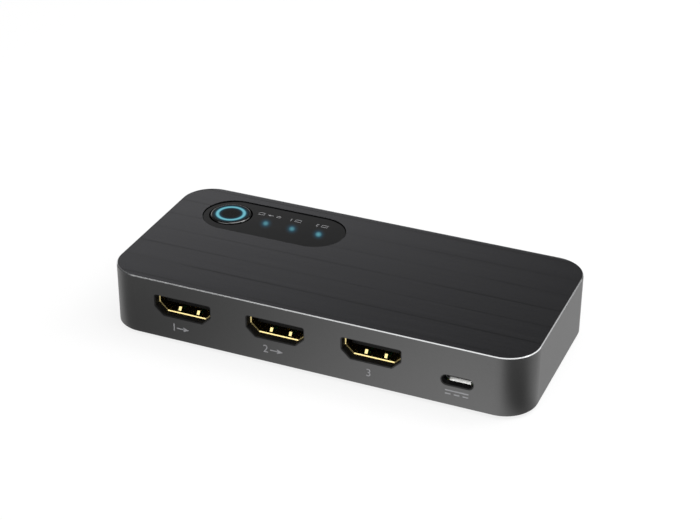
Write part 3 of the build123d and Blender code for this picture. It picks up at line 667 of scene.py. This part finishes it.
def tinned_chip(node, hex_body, hex_other, cap):
    """A small fired part with tinned ends front and back, each cap of the given length."""
    low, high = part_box(node)
    middle_y = (low.y + high.y) / 2
    material, tree, place = start_material(f"fired_body_{node}")
    away = math_node(tree, "ABSOLUTE", math_node(tree, "SUBTRACT", axis_of(tree, place, "Y"), middle_y))
    ends = math_node(tree, "GREATER_THAN", away, (high.y - low.y) / 2 - cap)
    body = grained_shader(
        tree, place, linear(hex_body), linear(hex_other), (0.45, 0.6), 0.2 * MM, 0.002 * MM, ior=1.6
    )
    tin = grained_shader(
        tree, place, linear("d0d0ce"), linear("b2b2b0"), (0.3, 0.4), 0.2 * MM, 0.002 * MM, metallic=1.0
    )
    return end_material(material, tree, shade_between(tree, ends, body, tin))


def capacitor_can():
    """Drawn aluminium can on a black moulded base: bright, with a dark polarity stripe on its top."""
    low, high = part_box("smoothing_capacitors")
    base_height = 0.8 * MM
    top_skin = 0.02 * MM
    stripe_inset = 1.1 * MM
    material, tree, place = start_material("drawn_aluminium_can")
    height = axis_of(tree, place, "Z")
    can = math_node(tree, "GREATER_THAN", height, low.z + base_height)
    on_top = math_node(tree, "GREATER_THAN", height, high.z - top_skin)
    to_side = math_node(tree, "LESS_THAN", axis_of(tree, place, "X"), (low.x + high.x) / 2 - stripe_inset)
    stripe = math_node(tree, "MULTIPLY", on_top, to_side)
    metal = grained_shader(
        tree, place, linear("d3d4d6"), linear("bfc0c2"), (0.22, 0.32), 0.15 * MM, 0.001 * MM,
        metallic=1.0, drawn=(1, 1, 0.1),
    )
    ink = grained_shader(tree, place, linear("141415"), linear("1c1c1d"), (0.4, 0.5), 0.2 * MM, 0.001 * MM)
    base = grained_shader(tree, place, linear("101011"), linear("171718"), (0.5, 0.6), 0.2 * MM, 0.002 * MM)
    top = shade_between(tree, stripe, metal, ink)
    return end_material(material, tree, shade_between(tree, can, base, top))


def drawn_nickel_can():
    """Crystal can: drawn and nickel plated, bright with soft vertical drawing lines."""
    return grained_material(
        "nickel_plated_can", linear("cdc9c1"), linear("b5b1aa"), (0.18, 0.28), 0.2 * MM, 0.0008 * MM,
        metallic=1.0, drawn=(1, 1, 0.1),
    )


def pressed_ferrite():
    """Pressed and fired ferrite: charcoal, slightly chalky, with a fine powdery grain."""
    return grained_material(
        "pressed_ferrite", linear("3a3a3b"), linear("2b2b2c"), (0.6, 0.8), 0.15 * MM, 0.004 * MM, ior=2.0
    )


def black_anodised_sink():
    """Extruded heat sink, black anodised: satin, with faint lines along the fins."""
    return grained_material(
        "black_anodised_extrusion", linear("1b1b1d"), linear("121213"), (0.4, 0.5), 0.2 * MM, 0.001 * MM,
        metallic=1.0, drawn=(0.05, 1, 1),
    )


def silicone_pad():
    """Filled silicone gap pad: dull blue-grey, soft and slightly tacky."""
    return grained_material(
        "filled_silicone", linear("8f9aa6"), linear("7d8893"), (0.6, 0.75), 0.5 * MM, 0.004 * MM, ior=1.43
    )


def laser_mark(name, finish):
    """Laser-bleached dye: a flat light grey, a little uneven where the beam's lines overlap."""
    colour = tuple(finish.mark)
    return grained_material(
        name, colour, tuple(c * 0.82 for c in colour), (0.5, 0.65), 0.12 * MM, 0.0005 * MM, ior=1.5
    )


def finish_nodes(material, *names):
    """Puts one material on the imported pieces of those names."""
    for name in names:
        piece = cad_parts[name]
        for slot in piece.material_slots:
            slot.material = material


def nothing_selected():
    bpy.ops.object.select_all(action="DESELECT")


def only(piece):
    """Selects one piece alone and makes it active."""
    nothing_selected()
    piece.select_set(True)
    bpy.context.view_layer.objects.active = piece


def set_down(piece, place, turn=(0.0, 0.0, 0.0)):
    """Turns and moves a piece, and puts its place into its mesh."""
    only(piece)
    piece.rotation_euler = turn
    piece.location = place
    bpy.ops.object.transform_apply(location=True, rotation=True, scale=True)


def join(pieces, name):
    """Makes one piece of several."""
    nothing_selected()
    for piece in pieces:
        piece.select_set(True)
    bpy.context.view_layer.objects.active = pieces[0]
    if len(pieces) > 1:
        bpy.ops.object.join()
    pieces[0].name = name
    pieces[0].data.name = name
    return pieces[0]


def film_number(text, height, film):
    """A number lying flat at the origin, as a thin film of the given height."""
    nothing_selected()
    bpy.ops.object.text_add()
    piece = bpy.context.object
    piece.data.body = text
    piece.data.align_x = "CENTER"
    piece.data.align_y = "CENTER"
    piece.data.extrude = film / 2
    piece.data.resolution_u = 6
    bpy.ops.object.convert(target="MESH")
    piece = bpy.context.object
    drawn = piece.dimensions.y
    piece.scale = (height / drawn, height / drawn, 1.0)
    bpy.ops.object.transform_apply(location=False, rotation=False, scale=True)
    return piece


def film_bar(x, y, length, width, film):
    """A thin flat bar with rounded corners, centred on x and y."""
    nothing_selected()
    bpy.ops.mesh.primitive_plane_add(size=1, location=(x, y, -film / 2))
    piece = bpy.context.object
    piece.scale = (length, width, 1.0)
    bpy.ops.object.transform_apply(location=True, rotation=False, scale=True)
    bpy.ops.object.mode_set(mode="EDIT")
    bpy.ops.mesh.select_all(action="SELECT")
    bpy.ops.mesh.bevel(offset=width * 0.3, segments=3, affect="VERTICES")
    bpy.ops.mesh.extrude_region_move(TRANSFORM_OT_translate={"value": (0, 0, film)})
    bpy.ops.mesh.select_all(action="SELECT")
    bpy.ops.mesh.normals_make_consistent(inside=False)
    bpy.ops.object.mode_set(mode="OBJECT")
    return piece


def film_arrow(x, y, length, width, film):
    """A thin flat arrow that points right: a shaft and a three-cornered head, centred on x and y."""
    head = length * 0.5
    shaft_length = length - head * 0.7
    shaft = film_bar(x - length / 2 + (length - head) / 2, y, shaft_length, width * 0.25, film)
    # Three corners on a circle of radius 0.5 span 0.75 one way and half the root of 3 the other
    nothing_selected()
    bpy.ops.mesh.primitive_circle_add(
        vertices=3, radius=0.5, fill_type="NGON", rotation=(0, 0, -math.pi / 2), location=(0, 0, 0)
    )
    tip = bpy.context.object
    bpy.ops.object.transform_apply(location=False, rotation=True, scale=False)
    tip.scale = (head / 0.75, width / (math.sqrt(3) / 2), 1.0)
    tip.location = (x + length / 2 - head * 2 / 3, y, -film / 2)
    bpy.ops.object.transform_apply(location=True, rotation=False, scale=True)
    bpy.ops.object.mode_set(mode="EDIT")
    bpy.ops.mesh.select_all(action="SELECT")
    bpy.ops.mesh.bevel(offset=width * 0.05, segments=2, affect="VERTICES")
    bpy.ops.mesh.extrude_region_move(TRANSFORM_OT_translate={"value": (0, 0, film)})
    bpy.ops.mesh.select_all(action="SELECT")
    bpy.ops.mesh.normals_make_consistent(inside=False)
    bpy.ops.object.mode_set(mode="OBJECT")
    return join([shaft, tip], "arrow")


def place_mark(parts, name, place, turn, material):
    """Joins a sign's parts, sets the sign down on its surface and lets it ride on the casing."""
    piece = join(parts, name)
    set_down(piece, place, turn)
    piece.data.materials.clear()
    piece.data.materials.append(material)
    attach(piece, CASING)


class SPLITTER_OT_casing(bpy.types.Operator):
    """Finish the housing, its top plate, the window, the liner, the light shroud and the tape"""

    bl_idname = "splitter.casing"
    bl_label = "Casing"

    def execute(self, context):
        finish = context.scene.splitter_finish
        finish_nodes(anodised_aluminium(finish), "housing")
        finish_nodes(brushed_aluminium(finish), "top_plate")
        finish_nodes(smoked_acrylic(finish), "indicator_window")
        finish_nodes(black_liner_abs(), "port_liner", "light_shroud")
        finish_nodes(acrylic_tape(), "plate_adhesive", "window_adhesive")
        return {"FINISHED"}


class SPLITTER_OT_underside(bpy.types.Operator):
    """Finish the bottom cover, the feet and the screws"""

    bl_idname = "splitter.underside"
    bl_label = "Underside"

    def execute(self, context):
        finish_nodes(textured_cover_abs(), "bottom_cover")
        finish_nodes(moulded_rubber(), "foot_1", "foot_2", "foot_3", "foot_4")
        finish_nodes(zinc_plated_steel(), "cover_screws", "board_screws")
        return {"FINISHED"}


class SPLITTER_OT_sockets(bpy.types.Operator):
    """Finish the shells, tongues and contacts of the four sockets"""

    bl_idname = "splitter.sockets"
    bl_label = "Sockets"

    def execute(self, context):
        gold = gold_plating(context.scene.splitter_finish)
        resin = socket_resin()
        for k in (1, 2, 3):
            finish_nodes(gold, f"video_shell_{k}", f"video_contacts_{k}")
            finish_nodes(resin, f"video_tongue_{k}")
        finish_nodes(gold, "power_contacts")
        finish_nodes(resin, "power_tongue")
        finish_nodes(tin_plating(), "power_shell")
        return {"FINISHED"}


class SPLITTER_OT_button(bpy.types.Operator):
    """Finish the button, its lit ring and the switch under it"""

    bl_idname = "splitter.button"
    bl_label = "Button and switch"

    def execute(self, context):
        finish = context.scene.splitter_finish
        finish_nodes(black_button_abs(finish), "button_cap", "button_centre")
        finish_nodes(milky_polycarbonate(finish), "button_light_ring")
        finish_nodes(socket_resin(), "switch_base", "switch_plunger")
        finish_nodes(stainless_spring(), "switch_cover", "switch_dome")
        finish_nodes(tin_plating(), "switch_terminals")
        return {"FINISHED"}


class SPLITTER_OT_board(bpy.types.Operator):
    """Finish the circuit board, its lamps and all that is soldered to it"""

    bl_idname = "splitter.board"
    bl_label = "Board"

    def execute(self, context):
        finish = context.scene.splitter_finish
        lead_reach = 1.0 * MM
        finish_nodes(circuit_laminate(), "circuit_board")
        finish_nodes(clear_polycarbonate(), "light_pipe_1", "light_pipe_2", "light_pipe_3")
        lamps = [f"indicator_led_{k}" for k in (1, 2, 3)] + [f"ring_led_{k}" for k in (1, 2, 3, 4)]
        finish_nodes(lamp_package(finish), *lamps)
        for name, lead_axes in (("splitter_chip", "XY"), ("memory_chip", "Y"), ("regulator", "Y")):
            finish_nodes(moulded_epoxy(name, lead_reach, lead_axes), name)
        finish_nodes(silicone_pad(), "heat_pad")
        finish_nodes(black_anodised_sink(), "heat_sink")
        finish_nodes(pressed_ferrite(), "power_inductor")
        finish_nodes(drawn_nickel_can(), "clock_crystal")
        finish_nodes(capacitor_can(), "smoothing_capacitors")
        for name, hex_body, hex_other, cap in (
            ("resistors", "151516", "1f1f20", 0.3),
            ("ceramic_capacitors", "a98a63", "8f7350", 0.3),
            ("signal_chokes", "3a3a3b", "2b2b2c", 0.25),
            ("surge_arrays", "1e1e1f", "161617", 0.2),
        ):
            finish_nodes(tinned_chip(name, hex_body, hex_other, cap * MM), name)
        return {"FINISHED"}


class SPLITTER_OT_face_marks(bpy.types.Operator):
    """Mark the sockets with plain numbers and arrows, and the power socket with the direct-current sign"""

    bl_idname = "splitter.face_marks"
    bl_label = "Marks on the face"

    def execute(self, context):
        marks = context.scene.splitter_marks
        ink = laser_mark("laser_marked_shell", context.scene.splitter_finish)
        upright = (math.pi / 2, 0.0, 0.0)
        face = cad_low.y
        height = marks.face_height
        arrow = height * 1.55
        arrow_width = height * 0.6
        for k, text in enumerate(("1", "2", "3"), 1):
            middle = middle_of(f"video_shell_{k}").x + marks.face_shift
            parts = [film_number(text, height, marks.film)]
            # Only the outputs have an arrow
            if k < 3:
                width = parts[0].dimensions.x
                span = width + marks.gap + arrow
                set_down(parts[0], ((width - span) / 2, 0, 0))
                parts.append(film_arrow((span - arrow) / 2, 0, arrow, arrow_width, marks.film))
            place_mark(
                parts, f"face_mark_{text}", (middle, face, marks.face_level), upright, ink
            )
        # The direct-current sign: a bar over three dashes
        length = height * 2.8
        stroke = height * 0.17
        dash = length * 0.25
        rise = height * 0.22
        bars = [film_bar(0, rise, length, stroke, marks.film)]
        for side in (-1, 0, 1):
            bars.append(film_bar(side * (length - dash) / 2, -rise, dash, stroke, marks.film))
        middle = middle_of("power_shell").x
        place_mark(
            bars, "face_mark_power", (middle, face, marks.face_level), upright, ink
        )
        return {"FINISHED"}


def film_screen(x, width, height, stroke, film):
    """A thin flat outline of a screen, centred on x."""
    half_w = (width - stroke) / 2
    half_h = (height - stroke) / 2
    return [
        film_bar(x, half_h, width, stroke, film),
        film_bar(x, -half_h, width, stroke, film),
        film_bar(x + half_w, 0, stroke, height, film),
        film_bar(x - half_w, 0, stroke, height, film),
    ]


class SPLITTER_OT_window_marks(bpy.types.Operator):
    """Mark the lamps on the window with screen signs and plain numbers, read from the back"""

    bl_idname = "splitter.window_marks"
    bl_label = "Marks on the window"

    def execute(self, context):
        marks = context.scene.splitter_marks
        ink = laser_mark("laser_marked_window", context.scene.splitter_finish)
        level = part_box("indicator_window")[1].z
        turned = (0.0, 0.0, math.pi)
        height = marks.window_height
        stroke = height * 0.15
        width = height * 1.5
        for k in (1, 2, 3):
            lamp = middle_of(f"light_pipe_{k}")
            place = (lamp.x + marks.window_shift, lamp.y + marks.window_step, level)
            if k == 1:
                # A small screen, an arrow and a larger screen: the picture's size is matched
                small = 0.7
                step = width * 1.35
                parts = film_screen(-step, width * small, height * small, stroke, marks.film)
                parts.append(film_arrow(-width * 0.05, 0, width * 0.9, height * 0.6, marks.film))
                parts += film_screen(step, width, height, stroke, marks.film)
                name = "window_mark_scaled"
            else:
                number = film_number(str(k - 1), height, marks.film)
                set_down(number, (width * 0.8, 0, 0))
                parts = [number] + film_screen(-width * 0.3, width, height, stroke, marks.film)
                name = f"window_mark_{k - 1}"
            place_mark(parts, name, place, turned, ink)
        return {"FINISHED"}


def pale_floor(studio):
    """Matt white paper: an even pale ground that keeps a soft shadow.

    To the camera and in mirrors it is mostly plain white, so that it matches the white behind it.
    """
    white_share = 0.82
    material, tree, place = start_material("matt_white_paper")
    grain = noise(tree, place, 0.6 * MM)
    fibre = tuple(c * 0.985 for c in studio.floor)
    paper = principled(
        tree,
        {"Roughness": 0.9, "Specular IOR Level": 0.2},
        {"Base Color": blend_colours(tree, grain, tuple(studio.floor), fibre)},
    )
    path = add_node(tree, "ShaderNodeLightPath")
    seen = math_node(tree, "MAXIMUM", path.outputs["Is Camera Ray"], path.outputs["Is Glossy Ray"])
    seen = math_node(tree, "MAXIMUM", seen, path.outputs["Is Transmission Ray"])
    white = add_node(tree, "ShaderNodeEmission", values={"Color": (1, 1, 1, 1), "Strength": 1.0})
    share = math_node(tree, "MULTIPLY", seen, white_share)
    sheet = shade_between(tree, share, paper, white.outputs["Emission"])
    below = add_node(tree, "ShaderNodeBsdfTransparent").outputs["BSDF"]
    back = add_node(tree, "ShaderNodeNewGeometry").outputs["Backfacing"]
    return end_material(material, tree, shade_between(tree, back, sheet, below))


def graded_card(studio):
    """A lit card, dim at its left end and bright at its right: the socket face mirrors its even change.

    It ends under that face. Past the splitter's corner it is dark, and it thins out there towards the back.
    """
    past_corner = 0.16
    material, tree, place = start_material("graded_card")
    along = axis_of(tree, place, "X")
    level = fade(tree, along, -52 * MM, 50 * MM, *studio.card_levels)
    end = fade(tree, along, 45 * MM, 56 * MM, 1.0, past_corner)
    light = add_node(
        tree,
        "ShaderNodeEmission",
        values={"Color": (1, 1, 1, 1)},
        links={"Strength": math_node(tree, "MULTIPLY", level, end)},
    ).outputs["Emission"]
    clear = add_node(tree, "ShaderNodeBsdfTransparent").outputs["BSDF"]
    back = add_node(tree, "ShaderNodeNewGeometry").outputs["Backfacing"]
    depth = axis_of(tree, place, "Y")
    before_corner = fade(tree, along, 46 * MM, 52 * MM, 1.0, 0.0)
    inside = math_node(tree, "MULTIPLY", before_corner, fade(tree, depth, -25 * MM, -24 * MM))
    beside = fade(tree, along, 46 * MM, 52 * MM)
    behind = math_node(tree, "MULTIPLY", beside, fade(tree, depth, -24 * MM, -12 * MM))
    thin = math_node(tree, "MAXIMUM", back, math_node(tree, "MAXIMUM", inside, behind))
    return end_material(material, tree, shade_between(tree, thin, light, clear))


# Soft panels of the surrounding light: the turn of their middle from the front towards the right, half
# their width and the softness of their ends, their lower and upper edge above the horizon and the
# softness of these, all in degrees, and their level
PANELS = (
    (0, 180, 1, -90, 0, 8, 0.5),
    (-142, 4, 28, -90, 19, 16, 0.95),
    (-20, 22, 15, 20, 38, 12, 1.8),
    (34, 65, 8, 42, 72, 8, 1.05),
    (118, 25, 9, 4, 42, 8, 1.1),
    (0, 180, 1, 74, 90, 8, 0.5),
)
DIM_LEVEL = 0.08


def compass_dot(tree, look, turn):
    """How nearly a direction's compass bearing is the given turn from the front: the cosine between them."""
    flat = add_node(
        tree, "ShaderNodeVectorMath", {"operation": "MULTIPLY"}, {1: (1.0, 1.0, 0.0)}, {0: look}
    ).outputs["Vector"]
    bearing = add_node(
        tree, "ShaderNodeVectorMath", {"operation": "NORMALIZE"}, links={0: flat}
    ).outputs["Vector"]
    towards = (math.sin(math.radians(turn)), -math.cos(math.radians(turn)), 0.0)
    return add_node(
        tree, "ShaderNodeVectorMath", {"operation": "DOT_PRODUCT"}, {1: towards}, {0: bearing}
    ).outputs["Value"]


def studio_world():
    """Light from all round: a dim room with soft bright panels for bare metal to mirror.

    The camera itself sees plain white.
    """
    world = bpy.data.worlds.new("studio")
    world.use_nodes = True
    tree = world.node_tree
    tree.nodes.clear()
    look = add_node(tree, "ShaderNodeTexCoord").outputs["Generated"]
    up = axis_of(tree, look, "Z")
    level = DIM_LEVEL
    for turn, half, soft, low, high, edge, strength in PANELS:
        start, end = (math.sin(math.radians(a)) for a in (high, high + edge))
        share = fade(tree, up, start, end, strength, 0.0)
        if low > -90:
            start, end = (math.sin(math.radians(a)) for a in (low - edge, low))
            share = math_node(tree, "MULTIPLY", share, fade(tree, up, start, end))
        if half < 180:
            start, end = (math.cos(math.radians(a)) for a in (half + soft, half))
            share = math_node(tree, "MULTIPLY", share, fade(tree, compass_dot(tree, look, turn), start, end))
        level = math_node(tree, "ADD", share, level)
    seen = add_node(tree, "ShaderNodeLightPath").outputs["Is Camera Ray"]
    level = math_node(tree, "MAXIMUM", level, seen)
    sky = add_node(
        tree, "ShaderNodeBackground", values={"Color": (1, 1, 1, 1)}, links={"Strength": level}
    ).outputs["Background"]
    add_node(tree, "ShaderNodeOutputWorld", links={"Surface": sky})
    return world


def area_lamp(name, place, aim, width, height, power):
    """A rectangular softbox at place that faces aim."""
    nothing_selected()
    bpy.ops.object.light_add(type="AREA", location=place)
    lamp = bpy.context.object
    lamp.name = name
    lamp.data.shape = "RECTANGLE"
    lamp.data.size = width
    lamp.data.size_y = height
    lamp.data.energy = power
    lamp.rotation_euler = (Vector(aim) - Vector(place)).to_track_quat("-Z", "Y").to_euler()
    lamp.visible_camera = False


class SPLITTER_OT_stage(bpy.types.Operator):
    """Lay the floor, light the splitter and set up the camera"""

    bl_idname = "splitter.stage"
    bl_label = "Stage"

    def execute(self, context):
        studio = context.scene.splitter_studio
        nothing_selected()
        bpy.ops.mesh.primitive_plane_add(size=studio.floor_width, location=(0, 0, 0))
        floor = bpy.context.object
        floor.name = "floor"
        floor.data.materials.append(pale_floor(studio))

        nothing_selected()
        bpy.ops.mesh.primitive_plane_add(size=1)
        card = bpy.context.object
        card.name = "graded_card"
        card.scale = (170 * MM, 70 * MM, 1.0)
        set_down(card, (-2 * MM, -37 * MM, 0.2 * MM))
        card.data.materials.append(graded_card(studio))
        card.visible_camera = False
        card.visible_diffuse = False
        card.visible_shadow = False
        card.visible_transmission = False

        context.scene.world = studio_world()
        middle = (0.0, 0.0, 0.01)
        # Place, aim, width and height in metres, and power in watts
        area_lamp("overhead_softbox", (0.15, 0.1, 0.7), middle, 0.7, 0.5, 3.0)
        area_lamp("right_softbox", (0.39, 0.225, 0.54), middle, 0.22, 0.22, 1.2)

        nothing_selected()
        bpy.ops.object.camera_add(location=studio.camera_place, rotation=studio.camera_turn)
        camera = bpy.context.object
        camera.name = "camera"
        camera.data.lens = studio.lens
        camera.data.sensor_width = 36
        camera.data.clip_start = 0.01
        camera.data.clip_end = 20
        context.scene.camera = camera
        context.scene.view_settings.view_transform = "Standard"
        return {"FINISHED"}


class SPLITTER_PT_panel(bpy.types.Panel):
    """The steps that dress the splitter, in order"""

    bl_idname = "SPLITTER_PT_panel"
    bl_label = "Video splitter"
    bl_space_type = "VIEW_3D"
    bl_region_type = "UI"
    bl_category = "Splitter"

    def draw(self, context):
        for step in STEPS:
            self.layout.operator(step.bl_idname)
        for group in (
            context.scene.splitter_finish, context.scene.splitter_marks, context.scene.splitter_studio
        ):
            for name in group.__annotations__:
                self.layout.prop(group, name)


STEPS = (
    SPLITTER_OT_casing,
    SPLITTER_OT_underside,
    SPLITTER_OT_sockets,
    SPLITTER_OT_button,
    SPLITTER_OT_board,
    SPLITTER_OT_face_marks,
    SPLITTER_OT_window_marks,
    SPLITTER_OT_stage,
)
GROUPS = {
    "splitter_finish": SplitterFinish,
    "splitter_marks": SplitterMarks,
    "splitter_studio": SplitterStudio,
}


def register():
    for kind in (*GROUPS.values(), *STEPS, SPLITTER_PT_panel):
        bpy.utils.register_class(kind)
    for name, group in GROUPS.items():
        setattr(bpy.types.Scene, name, PointerProperty(type=group))


def unregister():
    for name in GROUPS:
        delattr(bpy.types.Scene, name)
    for kind in reversed((*GROUPS.values(), *STEPS, SPLITTER_PT_panel)):
        bpy.utils.unregister_class(kind)


def main():
    register()
    bpy.ops.splitter.casing()
    bpy.ops.splitter.underside()
    bpy.ops.splitter.sockets()
    bpy.ops.splitter.button()
    bpy.ops.splitter.board()
    bpy.ops.splitter.face_marks()
    bpy.ops.splitter.window_marks()
    bpy.ops.splitter.stage()


if __name__ == "__main__":
    main()
